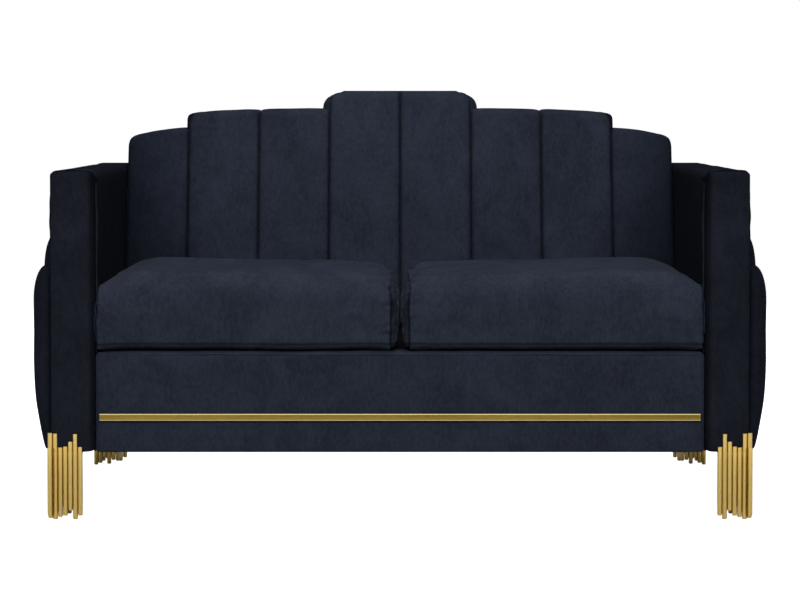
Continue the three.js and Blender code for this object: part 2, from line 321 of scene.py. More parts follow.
def makeVelvetPile():
    group = newGroup(
        "velvetPile",
        [("Pile", "NodeSocketColor", (0.012, 0.014, 0.022, 1)),
         ("Brushed", "NodeSocketColor", (0.03, 0.034, 0.05, 1)),
         ("Shift", "NodeSocketVector", (0, 0, 0))],
        [("Color", "NodeSocketColor"), ("Roughness", "NodeSocketFloat"), ("Height", "NodeSocketFloat")])
    nodes, links = group.nodes, group.links
    entry = addNode(nodes, "NodeGroupInput")
    outcome = addNode(nodes, "NodeGroupOutput")
    place = addNode(nodes, "ShaderNodeTexCoord")
    mapping = addNode(nodes, "ShaderNodeMapping")
    stretch = addNode(nodes, "ShaderNodeMapping", {"Scale": (1, 1, 0.5)})    # upright streaks in the pile
    connect(links,
            (place, "Object", mapping, "Vector"),
            (entry, "Shift", mapping, "Location"),
            (mapping, "Vector", stretch, "Vector"))

    def cloud(scale, detail, roughness, distortion, vector=mapping):
        node = addNode(nodes, "ShaderNodeTexNoise", {
            "Scale": scale, "Detail": detail, "Roughness": roughness, "Distortion": distortion})
        links.new(vector.outputs["Vector"], node.inputs["Vector"])
        return node.outputs["Fac"]

    def spread(value, low, high):
        node = addNode(nodes, "ShaderNodeMapRange", {"From Min": low, "From Max": high},
                       interpolation_type="SMOOTHSTEP")
        links.new(value, node.inputs["Value"])
        return node.outputs["Result"]

    def combine(operation, first, second):
        node = addNode(nodes, "ShaderNodeMath", operation=operation)
        for socket, value in zip(node.inputs, (first, second)):
            if isinstance(value, (int, float)):
                socket.default_value = value
            else:
                links.new(value, socket)
        return node.outputs[0]

    strokes = spread(cloud(6, 3, 0.6, 1.1), 0.32, 0.70)
    blotches = spread(cloud(26, 4, 0.62, 0.8, stretch), 0.30, 0.74)
    tufts = spread(cloud(150, 4, 0.8, 0.2, stretch), 0.34, 0.66)
    fibres = cloud(1300, 1, 0.5, 0)
    tone = combine("ADD", combine("MULTIPLY", strokes, velvet["strokes"]),
                   combine("MULTIPLY", blotches, velvet["blotches"]))
    tone = combine("ADD", tone, combine("MULTIPLY", tufts, velvet["tufts"]))
    mix = addNode(nodes, "ShaderNodeMix", data_type="RGBA")
    links.new(tone, mix.inputs["Factor"])
    connect(links,
            (entry, "Pile", mix, "A"),
            (entry, "Brushed", mix, "B"))
    # Painted shade: a point attribute darkens the pile towards a near-black colour where shade falls.
    paintedShade = addNode(nodes, "ShaderNodeAttribute", attribute_name="paintedShade")
    shadeColor = addNode(nodes, "ShaderNodeMix", data_type="RGBA")
    shadeColor.inputs["B"].default_value = velvet["shadeColor"]
    links.new(combine("MULTIPLY", paintedShade.outputs["Fac"], velvet["shadeStrength"]), shadeColor.inputs["Factor"])
    connect(links,
            (mix, "Result", shadeColor, "A"),
            (shadeColor, "Result", outcome, "Color"))
    links.new(combine("ADD", combine("MULTIPLY", tone, -0.12), 0.86), outcome.inputs["Roughness"])
    height = combine("ADD", combine("MULTIPLY", strokes, 0.35), combine("MULTIPLY", tufts, 0.4))
    links.new(combine("ADD", height, combine("MULTIPLY", fibres, 0.25)), outcome.inputs["Height"])
    return group


velvetPile = makeVelvetPile()


def startMaterial(name):
    material = bpy.data.materials.new(name)
    material.use_nodes = True
    nodes, links = material.node_tree.nodes, material.node_tree.links
    return material, nodes, links, nodes["Principled BSDF"]


def makeVelvet(name, pile, brushed, shift, sheen):
    material, nodes, links, shader = startMaterial(name)
    cloth = addNode(nodes, "ShaderNodeGroup", node_tree=velvetPile)
    cloth.inputs["Pile"].default_value = (*pile, 1)
    cloth.inputs["Brushed"].default_value = (*brushed, 1)
    cloth.inputs["Shift"].default_value = shift
    relief = {"Strength": velvet["relief"], "Distance": velvet["reliefDepth"]}
    bump = addNode(nodes, "ShaderNodeBump", relief)
    shader.inputs["Specular IOR Level"].default_value = 0
    shader.inputs["Sheen Weight"].default_value = sheen
    shader.inputs["Sheen Roughness"].default_value = velvet["sheenRoughness"]
    shader.inputs["Sheen Tint"].default_value = velvet["sheenTint"]
    connect(links,
            (cloth, "Color", shader, "Base Color"),
            (cloth, "Roughness", shader, "Roughness"),
            (cloth, "Height", bump, "Height"),
            (bump, "Normal", shader, "Normal"))
    return material


# Brushed metal: fine scratches drawn out along one axis.
def makeMetal(name, base, dark, roughness, scratchScale):
    material, nodes, links, shader = startMaterial(name)
    shader.inputs["Metallic"].default_value = 1
    place = addNode(nodes, "ShaderNodeTexCoord")
    mapping = addNode(nodes, "ShaderNodeMapping", {"Scale": scratchScale})
    grain = addNode(nodes, "ShaderNodeTexNoise", {"Scale": 60, "Detail": 3})
    tone = addNode(nodes, "ShaderNodeMix", data_type="RGBA")
    tone.inputs["A"].default_value = (*dark, 1)
    tone.inputs["B"].default_value = (*base, 1)
    rough = addNode(nodes, "ShaderNodeMapRange", {"To Min": roughness - 0.06, "To Max": roughness + 0.1})
    bump = addNode(nodes, "ShaderNodeBump", {"Strength": 0.12, "Distance": 0.0003})
    connect(links,
            (place, "Object", mapping, "Vector"),
            (mapping, "Vector", grain, "Vector"),
            (grain, "Fac", tone, "Factor"),
            (grain, "Fac", rough, "Value"),
            (grain, "Fac", bump, "Height"),
            (tone, "Result", shader, "Base Color"),
            (rough, "Result", shader, "Roughness"),
            (bump, "Normal", shader, "Normal"))
    return material


# Painted shade: darkens the colour of the back towards the arms and the seat.
def paintCornerShade(material, amount):
    nodes, links = material.node_tree.nodes, material.node_tree.links
    shader = nodes["Principled BSDF"]
    color = shader.inputs["Base Color"].links[0].from_socket
    place = addNode(nodes, "ShaderNodeTexCoord")
    split = addNode(nodes, "ShaderNodeSeparateXYZ")
    out = addNode(nodes, "ShaderNodeMath", operation="ABSOLUTE")
    slant = addNode(nodes, "ShaderNodeMath", {1: -0.35}, operation="MULTIPLY_ADD")   # further in lower down
    share = addNode(nodes, "ShaderNodeMapRange", {"From Min": 0.18, "From Max": 0.46, "To Max": amount},
                    interpolation_type="SMOOTHSTEP")
    deep = addNode(nodes, "ShaderNodeMix", data_type="RGBA")
    deep.inputs["B"].default_value = (0.0012, 0.0015, 0.0026, 1)
    connect(links,
            (place, "Object", split, "Vector"),
            (split, "X", out, 0),
            (split, "Z", slant, 0),
            (out, 0, slant, 2),
            (slant, 0, share, "Value"),
            (share, "Result", deep, "Factor"))
    links.new(color, deep.inputs["A"])
    links.new(deep.outputs["Result"], shader.inputs["Base Color"])


# The same velvet in four copies: the seat's copy is lighter, as painted light on the cushions, and the arm's
# copy darker, as painted shade on the arms, the outside back and the bodies behind the upper tiers; the
# border's is a little darker than the back's.
velvetBack = makeVelvet("velvetBack", (0.0128, 0.0158, 0.0250), (0.0274, 0.0332, 0.0506), (0, 0, 0), 0.07)
paintCornerShade(velvetBack, 0.7)
velvetSeat = makeVelvet("velvetSeat", (0.0152, 0.0187, 0.0292), (0.0334, 0.0404, 0.0604), (3, 1, 2), 0.1)
velvetBorder = makeVelvet("velvetBorder", (0.0112, 0.0138, 0.0222), (0.0250, 0.0302, 0.0460),
                          (5, 4, 1), 0.14)
velvetArm = makeVelvet("velvetArm", (0.0068, 0.0078, 0.0122), (0.0150, 0.0170, 0.0255), (7, 2, 6), 0.008)
legGold = makeMetal("legGold", (0.70, 0.53, 0.19), (0.61, 0.44, 0.13), 0.3, (1, 1, 0.06))
trimGold = makeMetal("trimGold", (0.45, 0.31, 0.06), (0.19, 0.115, 0.014), 0.22, (0.05, 1, 1))


# Plain cloth under the cushions and below the seat: a fine weave, seen close up.
def makeCloth(name, base, thread, scale):
    material, nodes, links, shader = startMaterial(name)
    place = addNode(nodes, "ShaderNodeTexCoord")
    waves = []
    for direction in ("X", "Y"):
        wave = addNode(nodes, "ShaderNodeTexWave", {"Scale": scale, "Distortion": 0.6},
                       bands_direction=direction)
        links.new(place.outputs["Object"], wave.inputs["Vector"])
        waves.append(wave.outputs["Fac"])
    weave = addNode(nodes, "ShaderNodeMath", operation="MULTIPLY")
    links.new(waves[0], weave.inputs[0])
    links.new(waves[1], weave.inputs[1])
    fade = addNode(nodes, "ShaderNodeTexNoise", {"Scale": 18, "Detail": 4})
    links.new(place.outputs["Object"], fade.inputs["Vector"])
    tone = addNode(nodes, "ShaderNodeMath", {1: 0.6}, operation="MULTIPLY_ADD")
    connect(links,
            (weave, 0, tone, 0),
            (fade, "Fac", tone, 2))
    mix = addNode(nodes, "ShaderNodeMix", data_type="RGBA")
    mix.inputs["A"].default_value = (*base, 1)
    mix.inputs["B"].default_value = (*thread, 1)
    bump = addNode(nodes, "ShaderNodeBump", {"Strength": 0.4, "Distance": 0.0005})
    shader.inputs["Roughness"].default_value = 0.9
    shader.inputs["Specular IOR Level"].default_value = 0.1
    connect(links,
            (tone, 0, mix, "Factor"),
            (weave, 0, bump, "Height"),
            (mix, "Result", shader, "Base Color"),
            (bump, "Normal", shader, "Normal"))
    return material


# Sawn wood: long streaks along one axis, with darker growth rings across it.
def makeWood(name, pale, brown, stretch, roughness):
    material, nodes, links, shader = startMaterial(name)
    place = addNode(nodes, "ShaderNodeTexCoord")
    mapping = addNode(nodes, "ShaderNodeMapping", {"Scale": stretch})
    grain = {"Scale": 9, "Distortion": 5, "Detail": 3}
    rings = addNode(nodes, "ShaderNodeTexWave", grain, wave_type="RINGS")
    streaks = addNode(nodes, "ShaderNodeTexNoise", {"Scale": 140, "Detail": 4})
    tone = addNode(nodes, "ShaderNodeMath", {1: 0.55}, operation="MULTIPLY_ADD")
    mix = addNode(nodes, "ShaderNodeMix", data_type="RGBA")
    mix.inputs["A"].default_value = (*brown, 1)
    mix.inputs["B"].default_value = (*pale, 1)
    rough = addNode(nodes, "ShaderNodeMapRange", {"To Min": roughness, "To Max": roughness + 0.2})
    bump = addNode(nodes, "ShaderNodeBump", {"Strength": 0.3, "Distance": 0.0006})
    connect(links,
            (place, "Object", mapping, "Vector"),
            (mapping, "Vector", rings, "Vector"),
            (mapping, "Vector", streaks, "Vector"),
            (rings, "Fac", tone, 0),
            (streaks, "Fac", tone, 2),
            (tone, 0, mix, "Factor"),
            (streaks, "Fac", rough, "Value"),
            (streaks, "Fac", bump, "Height"),
            (mix, "Result", shader, "Base Color"),
            (rough, "Result", shader, "Roughness"),
            (bump, "Normal", shader, "Normal"))
    return material


blackCloth = makeCloth("blackCloth", (0.006, 0.006, 0.007), (0.020, 0.020, 0.022), 300)
woodStretches = {"frameWood": (1, 1, 0.12), "railWood": (0.12, 1, 1), "sideWood": (1, 0.12, 1)}
for woodName, woodStretch in woodStretches.items():
    makeWood(woodName, (0.50, 0.35, 0.20), (0.28, 0.17, 0.08), woodStretch, 0.6)
makeWood("boardWood", (0.42, 0.29, 0.16), (0.24, 0.15, 0.08), (0.15, 1, 1), 0.7)
makeMetal("springSteel", (0.42, 0.42, 0.44), (0.30, 0.30, 0.32), 0.34, (1, 1, 1))


# Painted highlights: the trim's long edges are paler than its face, as if its bevels caught the light.
def paintEdgeHighlights(material, middle, half, pale):
    nodes, links = material.node_tree.nodes, material.node_tree.links
    shader = nodes["Principled BSDF"]
    color = shader.inputs["Base Color"].links[0].from_socket
    place = addNode(nodes, "ShaderNodeTexCoord")
    split = addNode(nodes, "ShaderNodeSeparateXYZ")
    offset = addNode(nodes, "ShaderNodeMath", {1: middle}, operation="SUBTRACT")
    away = addNode(nodes, "ShaderNodeMath", operation="ABSOLUTE")
    share = addNode(nodes, "ShaderNodeMapRange", {"From Min": half - 3 * mm, "From Max": half - 1.8 * mm})
    mix = addNode(nodes, "ShaderNodeMix", data_type="RGBA")
    mix.inputs["B"].default_value = (*pale, 1)
    connect(links,
            (place, "Object", split, "Vector"),
            (split, "Z", offset, 0),
            (offset, 0, away, 0),
            (away, 0, share, "Value"),
            (share, "Result", mix, "Factor"))
    links.new(color, mix.inputs["A"])
    links.new(mix.outputs["Result"], shader.inputs["Base Color"])


trimLow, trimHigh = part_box("brass_trim_strip")
paintEdgeHighlights(trimGold, (trimLow.z + trimHigh.z) / 2, (trimHigh.z - trimLow.z) / 2, (0.62, 0.50, 0.27))
print("materials are ready")


# ---- the frame parts inside, which keep their own shape ----

insideParts = {
    "frameWood": ["arm_front_post", "arm_rear_post", "back_upright"],
    "railWood": ["seat_front_rail", "seat_rear_rail"],
    "sideWood": ["arm_bottom_rail", "arm_top_rail", "seat_side_rail", "seat_centre_stretcher"],
    "boardWood": ["back_support_board"],
    "springSteel": ["seat_spring"],
    "blackCloth": ["dust_cover"],
}

for materialName, starts in insideParts.items():
    for nodeName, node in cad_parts.items():
        if any(nodeName.startswith(start) for start in starts):
            setMaterial(node, bpy.data.materials[materialName])
print("inside parts have their materials")


# ---- padded sheets ----

# A path of straight runs joined by arcs, given as corner points and the radius at each.
# It returns a function from shares of its length to points and outward normals.
def roundedPath(corners, radii):
    corners = [np.array(c, float) for c in corners]
    points = [corners[0]]
    for i in range(1, len(corners) - 1):
        before, corner, after = corners[i - 1], corners[i], corners[i + 1]
        inward = (before - corner) / np.linalg.norm(before - corner)
        outward = (after - corner) / np.linalg.norm(after - corner)
        half = math.acos(np.clip(np.dot(inward, outward), -1, 1)) / 2
        reach = radii[i] / math.tan(half)
        middle = corner + (inward + outward) / np.linalg.norm(inward + outward) * radii[i] / math.sin(half)
        start, end = corner + inward * reach - middle, corner + outward * reach - middle
        for share in np.linspace(0, 1, 13):
            step = start * (1 - share) + end * share
            points.append(middle + step / np.linalg.norm(step) * radii[i])
    points.append(corners[-1])
    points = np.array(points)
    lengths = np.concatenate([[0], np.cumsum(np.linalg.norm(np.diff(points, axis=0), axis=1))])
    fine = np.linspace(0, lengths[-1], 1200)
    line = np.stack([np.interp(fine, lengths, points[:, i]) for i in (0, 1)], axis=1)
    along = np.gradient(line, axis=0)
    along /= np.linalg.norm(along, axis=1)[:, None]
    turned = np.stack([-along[:, 1], along[:, 0]], axis=1)      # to the left of the way along

    def at(share):
        where = share * lengths[-1]
        place = [np.interp(where, fine, line[:, i]) for i in (0, 1)]
        normal = [np.interp(where, fine, turned[:, i]) for i in (0, 1)]
        return place[0], place[1], normal[0], normal[1]

    return at, lengths[-1]


# Across a padded sheet: flat in the middle, rolled over a radius at both edges, then a skirt inwards.
def rolledSection(share, width, radius, skirt):
    flat = width / 2 - radius
    arc = math.pi * radius / 2
    length = flat + arc + skirt
    reach = np.abs(share) * length
    angle = np.clip((reach - flat) / radius, 0, math.pi / 2)
    across = np.where(reach < flat, reach, flat + radius * np.sin(angle))
    drop = radius * (1 - np.cos(angle)) + np.maximum(reach - flat - arc, 0)
    return np.sign(share) * across, -drop


# Moves evenly spaced shares from -1 to 1 closer together near both ends.
def edgeDense(share, amount):
    return share * (1 - amount) + np.sin(share * math.pi / 2) * amount


def addGrid(name, across, along):
    clearSelection()
    bpy.ops.mesh.primitive_grid_add(x_subdivisions=across, y_subdivisions=along, size=2)
    return namePiece(name)


def thicken(piece, thickness):
    applyModifier(piece, "SOLIDIFY", thickness=thickness, offset=-1, use_even_offset=False)
    recalculateNormals(piece)
    applyModifier(piece, "SUBSURF", levels=1, render_levels=1)
    shadeSmooth(piece)


# ---- back channels ----

back = {
    "slope": 0.252,
    "faceDepth": 527.6,     # depth of the back's face at the deck, behind the arm fronts
    "deckTop": 350.5,
    "foot": 352,
    "topRound": 9,
    "roll": 7.5,            # radius of a channel's long edges
    "crown": 3.5,
    "crownReach": 12,       # from a channel's edge to where it is nearly at its full crown
    "skirt": 24,            # how far its edges run back out of sight
    "lap": 0.4,             # two channels press into each other by this much
    "sheet": 7,
    "topEnd": 812,          # depth where the channels' tops meet the outside back
    "across": 46, "spacing": 9, "edgeDense": 0.35,
    "waves": ((0.11, 1.5, 0), (0.04, 0.5, 5)),
    "pucker": 1.2, "puckerReach": 14, "puckerSize": 0.05, "puckerStretch": (1, 1, 2.4),
    "seamShade": 3.2,       # how far the painted shade beside a seam reaches
    "lowShadeEnd": 590,
}
# One step of the back on each side of the middle. corner and box are the width and height of the curve at
# its outer top corner, first of the channels and then of the body behind them.
# shade is the painted shade on the body behind a step's channels, and low the painted shade at the foot of
# its channels.
tiers = [
    {"inner": 0, "outer": 165, "top": 895, "fall": 2, "fallPower": 2, "channels": 1,
     "corner": (12, 34), "box": (43, 36), "side": 15, "proud": 6, "shade": 0.45, "low": 0.05},
    {"inner": 165, "outer": 493, "top": 855, "fall": 9, "fallPower": 2.2, "channels": 2,
     "corner": (15, 36), "box": (11, 14), "side": 6, "proud": 3, "shade": 0.75, "low": 0.15},
    {"inner": 493, "outer": 634.4, "top": 810, "fall": 15, "fallPower": 1.4, "channels": 1,
     "corner": (18, 26), "box": (12, 20), "side": -3, "proud": 0, "shade": 0.4, "low": 0.32},
]


def backDepth(z):
    return back["faceDepth"] + (z - back["deckTop"]) * back["slope"]


# How far a tier's top lies under its height at the middle, and how far its outer corner draws in.
def tierFall(tier, x):
    share = np.clip((x - tier["inner"]) / (tier["outer"] - tier["inner"]), 0, 1)
    return tier["fall"] * share ** tier["fallPower"]


def cornerDraw(tier, z, key="corner"):
    width, height = tier[key]
    above = np.clip((z - (tier["top"] - tier["fall"] - height)) / height, 0, 1)
    return width * (1 - np.sqrt(1 - above ** 2))


def makeChannel(name, tier, inner, outer, side, free, seed):
    width = outer - inner + back["lap"]
    top = tier["top"] - tier["proud"]
    corners = [(backDepth(back["foot"]), back["foot"]), (backDepth(top), top), (back["topEnd"], top)]
    at, length = roundedPath(corners, [0, back["topRound"], 0])
    piece = addGrid(name, back["across"], int(length / back["spacing"]))
    points = readPoints(piece)
    u, v = edgeDense(points[:, 0] * side, back["edgeDense"]), (points[:, 1] + 1) / 2
    x, drop = rolledSection(u, width, back["roll"], back["skirt"])
    y, z, ny, nz = at(v)
    edge = width / 2 - np.abs(x)
    crown = back["crown"] * (1 - np.exp(-edge / back["crownReach"])) - back["crown"] + tier["proud"]
    spot = np.stack([x, y, z], axis=1) / 1000 + [seed, 0, 0]
    wave = unevenness(spot, back["waves"], seed)
    pucker = cloudiness(spot * back["puckerStretch"], back["puckerSize"], seed + 9) * back["pucker"]
    pucker = pucker * np.exp(-edge / back["puckerReach"])
    rise = drop + crown + (wave + pucker) * (drop > -4)
    surface = z + nz * crown          # height on the cover above each point of the skirt
    y, z = y + ny * rise, z + nz * rise
    x = x + (inner + outer) / 2
    fall = tierFall(tier, x) * smoothStep(surface, back["foot"] + 120, tier["top"])
    z = z - fall
    if free:
        x = x - cornerDraw(tier, surface - fall) * smoothStep(x, inner, outer) ** 2
    x = x * side
    writePoints(piece, placed(x, y, z))
    # Painted shade: darker towards the foot of the channel, in the valley at each seam and on the skirts out
    # of sight.
    low = tier["low"] * (1 - smoothStep(z, back["foot"], back["lowShadeEnd"]))
    paintShade(piece, np.exp(-edge / back["seamShade"]) + (drop < -back["roll"]) + low)
    thicken(piece, back["sheet"] * mm)
    return piece


def makeBack():
    for side, label in ((-1, "left"), (1, "right")):
        number = 0
        for tier in tiers:
            width = (tier["outer"] - tier["inner"]) / tier["channels"]
            for i in range(tier["channels"]):
                number += 1
                inner = tier["inner"] + i * width
                free = i == tier["channels"] - 1
                seed = number + 10 * (side + 1)
                name = f"backChannel_{label}_{number}"
                piece = makeChannel(name, tier, inner, inner + width, side, free, seed)
                node = f"back_channel_{label}_{number}"
                finishPiece(piece, "sofa_body", velvetBack, [node])


makeBack()
print("back channels are ready")


# ---- the stepped body behind the channels ----

bodyTier = {
    "bottom": 640,
    "behindFace": 9,
    "under": 11,            # its top lies this far under the channels' tops
    "raised": 10.5,         # but comes up again at a step's outer end
    "inset": 3,             # in front of the outside back
    "round": 10,
    "bulge": 3,
    "bulgeDepth": (650, 820),
    "leanDepth": (700, 760),    # from where it leans with the face to where it stands upright
    "cornerReach": 70,
    "voxel": 7,
}


def bevelPlaces(piece, width, segments, chooses):
    makeActive(piece)
    bpy.ops.object.mode_set(mode="EDIT")
    bpy.ops.mesh.select_mode(type="EDGE")
    bpy.ops.mesh.select_all(action="DESELECT")
    bpy.ops.object.mode_set(mode="OBJECT")
    places = [v.co.copy() for v in piece.data.vertices]
    for edge in piece.data.edges:
        a, b = (places[i] for i in edge.vertices)
        edge.select = bool(chooses(a, b))
    bpy.ops.object.mode_set(mode="EDIT")
    bpy.ops.mesh.bevel(offset=width, segments=segments, affect="EDGES")
    bpy.ops.object.mode_set(mode="OBJECT")


def addBlock(name, low, high):
    clearSelection()
    middle = [(a + b) / 2 for a, b in zip(low, high)]
    bpy.ops.mesh.primitive_cube_add(size=1, location=middle)
    piece = namePiece(name)
    piece.scale = [b - a for a, b in zip(low, high)]
    applyPlace(piece)
    return piece


def softenBlock(piece, voxel, smooth):
    applyModifier(piece, "REMESH", mode="VOXEL", voxel_size=voxel * mm, use_smooth_shade=True)
    applyModifier(piece, "SMOOTH", factor=0.5, iterations=smooth)
    recalculateNormals(piece)


def makeTierBodies():
    bottom = bodyTier["bottom"]
    for number, tier in enumerate(tiers, 1):
        half = tier["outer"] + tier["side"]
        low = (-half * mm, frontY + backDepth(bottom) * mm, bottom * mm)
        high = (half * mm, backY - bodyTier["inset"] * mm, (tier["top"] - bodyTier["under"]) * mm)
        piece = addBlock(f"backTier_{number}", low, high)
        radius = bodyTier["round"] * mm
        bevelPlaces(piece, radius, 4, lambda a, b: min(a.z, b.z) > low[2] + mm or abs(a.z - b.z) > 10 * mm)
        softenBlock(piece, bodyTier["voxel"], 3)
        points = readPoints(piece)
        x, y, z = points.T * 1000
        if tier["side"] > 0:            # its outer end comes up level with the channels
            raised = smoothStep(np.abs(x), tier["outer"] - 40, tier["outer"] - 18)
            z = z + bodyTier["raised"] * raised * smoothStep(z, bottom, tier["top"] - 20)
        z = z - tierFall(tier, np.abs(x)) * smoothStep(z, bottom, tier["top"])
        depth = y - frontY * 1000
        leanStart, leanEnd = bodyTier["leanDepth"]
        lean = backDepth(z) - backDepth(bottom) + bodyTier["behindFace"]
        lean = lean * smoothStep(-depth, -leanEnd, -leanStart)
        bulge = bodyTier["bulge"] * np.sign(x) * (np.abs(x) > half - 3) * (tier["side"] > 0)
        bulgeStart, bulgeEnd = bodyTier["bulgeDepth"]
        bulge = bulge * np.sin(math.pi * np.clip((depth - bulgeStart) / (bulgeEnd - bulgeStart), 0, 1))
        draw = cornerDraw(tier, z + 1, "box") * smoothStep(np.abs(x), half - bodyTier["cornerReach"], half)
        x = x + bulge - np.sign(x) * draw
        writePoints(piece, np.stack([x * mm, (y + lean) * mm, z * mm], axis=1))
        # Painted shade on the body behind the channels; the upper tiers also take the darker copy of the
        # velvet.
        paintShade(piece, np.full(len(x), tier["shade"]))
        shadeSmooth(piece)
        material = velvetBack if number == 1 else velvetArm
        nodes = ["back_top_cover"] if number == 1 else []
        finishPiece(piece, "sofa_body", material, nodes)


makeTierBodies()
print("tier bodies are ready")


# ---- outside back ----

outside = {
    "round": 7, "voxel": 7,
    "wave": 1.6, "waveSize": 0.16,
    "sink": 1.5,            # its face lies this far in from the frame's rear plane
    "clear": 2,             # and its stepped ends this far inside the padded tiers
    "armStep": 737,         # below this it keeps the arms' width
}


def makeOutsideBack():
    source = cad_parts["outside_back_panel"]
    clearSelection()
    piece = bpy.data.objects.new("outsideBack", source.data.copy())
    bpy.context.scene.collection.objects.link(piece)
    recalculateNormals(piece)
    bpy.ops.object.mode_set(mode="EDIT")
    bpy.ops.mesh.select_all(action="SELECT")
    bpy.ops.mesh.dissolve_limited(angle_limit=math.radians(2))
    bpy.ops.object.mode_set(mode="OBJECT")
    bevelPlaces(piece, outside["round"] * mm, 3, lambda a, b: min(a.y, b.y) > backY - mm)
    softenBlock(piece, outside["voxel"], 2)
    points = readPoints(piece)
    x, y, z = points.T
    face = smoothStep(y, backY - 10 * mm, backY - mm)
    wave = cloudiness(points, outside["waveSize"], 3) * outside["wave"] * mm
    y += face * (wave - outside["sink"] * mm)
    nextTops = [tiers[1]["top"] + 3, tiers[2]["top"] + 3, outside["armStep"]]
    for tier, above, below in zip(tiers, [1000] + nextTops, nextTops):
        half = tier["outer"] + tier["side"] - outside["clear"] - cornerDraw(tier, z / mm, "box")
        here = (z > below * mm) & (z <= above * mm)
        x = np.where(here, np.clip(x, -half * mm, half * mm), x)
    writePoints(piece, np.stack([x, y, z], axis=1))
    shadeSmooth(piece)
    finishPiece(piece, "sofa_body", velvetArm, ["outside_back_panel"])


makeOutsideBack()
print("outside back is ready")


# ---- arms ----

arm = {
    "inner": 634.4, "outer": 729, "top": 725, "bottom": 140,
    "facing": 22,
    "insideBottom": 236,
    "outerRound": 11, "innerRound": 12,
    "facingRoll": (13, 5),      # at its inner edge and at its outer edge
    "facingCrown": 2.5,
    "facingSheet": 8,
    "facingWaves": ((0.09, 1.3, 0), (0.03, 0.4, 4)),
    "sleeve": 11,
    "sleeveWaves": ((0.13, 1.5, 0), (0.04, 0.5, 4)),
    "spacing": (6, 12),         # between rows of points, on the facing and on the sleeve
    "topCrown": 5,
    "dip": 15,                  # how far its top is pulled down where it meets the back
    "backPull": 4,              # how far its inside is pulled in along the seam with the back
    "backEnd": 815,
    "innerShade": 0.92,         # painted shade inside the arm
    # painted shade on the facing's inner rolled edge and towards its top
    "edgeShade": 0.8,
    "topShade": 0.3,
}


def makeArmFacing(side, label):
    width = arm["outer"] - arm["inner"] - 1
    bottom, top = arm["bottom"], arm["top"]
    corners = [(arm["facing"], bottom), (0, bottom), (0, top), (arm["facing"], top)]
    at, length = roundedPath(corners, [0, 2.5, 9, 0])
    piece = addGrid(f"armFacing_{label}", 26, int(length / arm["spacing"][0]))
    points = readPoints(piece)
    u, v = points[:, 0], (points[:, 1] + 1) / 2
    x, drop = rolledSection(u, width, np.where(u * side < 0, *arm["facingRoll"]), 10)
    y, z, ny, nz = at(v)
    edge = width / 2 - np.abs(x)
    spot = np.stack([x, y, z], axis=1) / 1000
    wave = unevenness(spot, arm["facingWaves"], 21 + side) * smoothStep(z, bottom, bottom + 20)
    crown = arm["facingCrown"] * (1 - np.exp(-edge / 18)) - arm["facingCrown"]
    rise = drop + (crown + wave) * (drop > -5) + 1
    y, z = y + ny * rise, z + nz * rise
    # Painted shade along the inner rolled edge and towards the top of the facing.
    shade = (x * side < 0) * (1 - smoothStep(edge, 6, 17)) + arm["topShade"] * smoothStep(z, top - 110, top)
    x = side * ((arm["inner"] + arm["outer"]) / 2) + x
    writePoints(piece, placed(x, y, z))
    paintShade(piece, shade * arm["edgeShade"] + (drop < -8))
    thicken(piece, arm["facingSheet"] * mm)
    finishPiece(piece, "sofa_body", velvetArm, [f"arm_facing_{label}"])


# The arm's top is crowned across its width.
def armCrown(x, z):
    middle, half = (arm["inner"] + arm["outer"]) / 2, (arm["outer"] - arm["inner"]) / 2
    return arm["topCrown"] * np.clip(1 - ((x - middle) / half) ** 2, 0, 1) ** 0.7 * (z > arm["top"] - 14)


def makeTube(name, points, radius):
    clearSelection()
    bpy.ops.curve.primitive_nurbs_path_add()
    tube = bpy.context.object
    tube.data.splines.clear()
    spline = tube.data.splines.new("POLY")
    spline.points.add(len(points) - 1)
    for spot, point in zip(spline.points, points):
        spot.co = (*point, 1)
    tube.location = (0, 0, 0)
    tube.data.bevel_depth = radius
    tube.data.bevel_resolution = 2
    tube.data.use_fill_caps = True
    tube.data.twist_mode = "MINIMUM"
    makeActive(tube)
    bpy.ops.object.convert(target="MESH")
    piece = namePiece(name)
    recalculateNormals(piece)
    shadeSmooth(piece)
    return piece


# The welt in the seam between the facing and the sleeve, a little wavy as a sewn one is.
welt = {
    "radius": 3,
    "inset": 0.6,
    "waves": ((7.5, 0.5), (23, 0.9), (67, 0.8)),    # length over which it turns, and how far it strays
    "shade": 0.7,           # towards the outside, where it lies out of sight
}


def makeArmWelt(side, label):
    inset = welt["inset"]
    corners = [(arm["inner"] + inset, arm["bottom"] + 2), (arm["inner"] + inset, arm["top"] - inset),
               (arm["outer"] - inset, arm["top"] - inset), (arm["outer"] - inset, arm["bottom"] + 2)]
    at, length = roundedPath(corners, [0, arm["innerRound"], arm["outerRound"], 0])
    share = np.linspace(0, 1, 320)
    x, z, nx, nz = at(share)
    along = share * length
    starts = (side, 0, 1)
    wave = sum(np.sin(along / turn + start) * stray for (turn, stray), start in zip(welt["waves"], starts))
    y = arm["facing"] - 1.5 + np.sin(along / 11) * 0.9
    x, z = x + nx * wave, z + nz * wave + armCrown(x, z) * 0.6
    points = placed(side * x, y, z)
    piece = makeTube(f"armWelt_{label}", points, welt["radius"] * mm)
    reach = np.abs(readPoints(piece)[:, 0]) / mm
    paintShade(piece, welt["shade"] * smoothStep(reach, arm["inner"] + 20, arm["outer"] - 20))
    finishPiece(piece, "sofa_body", velvetArm)


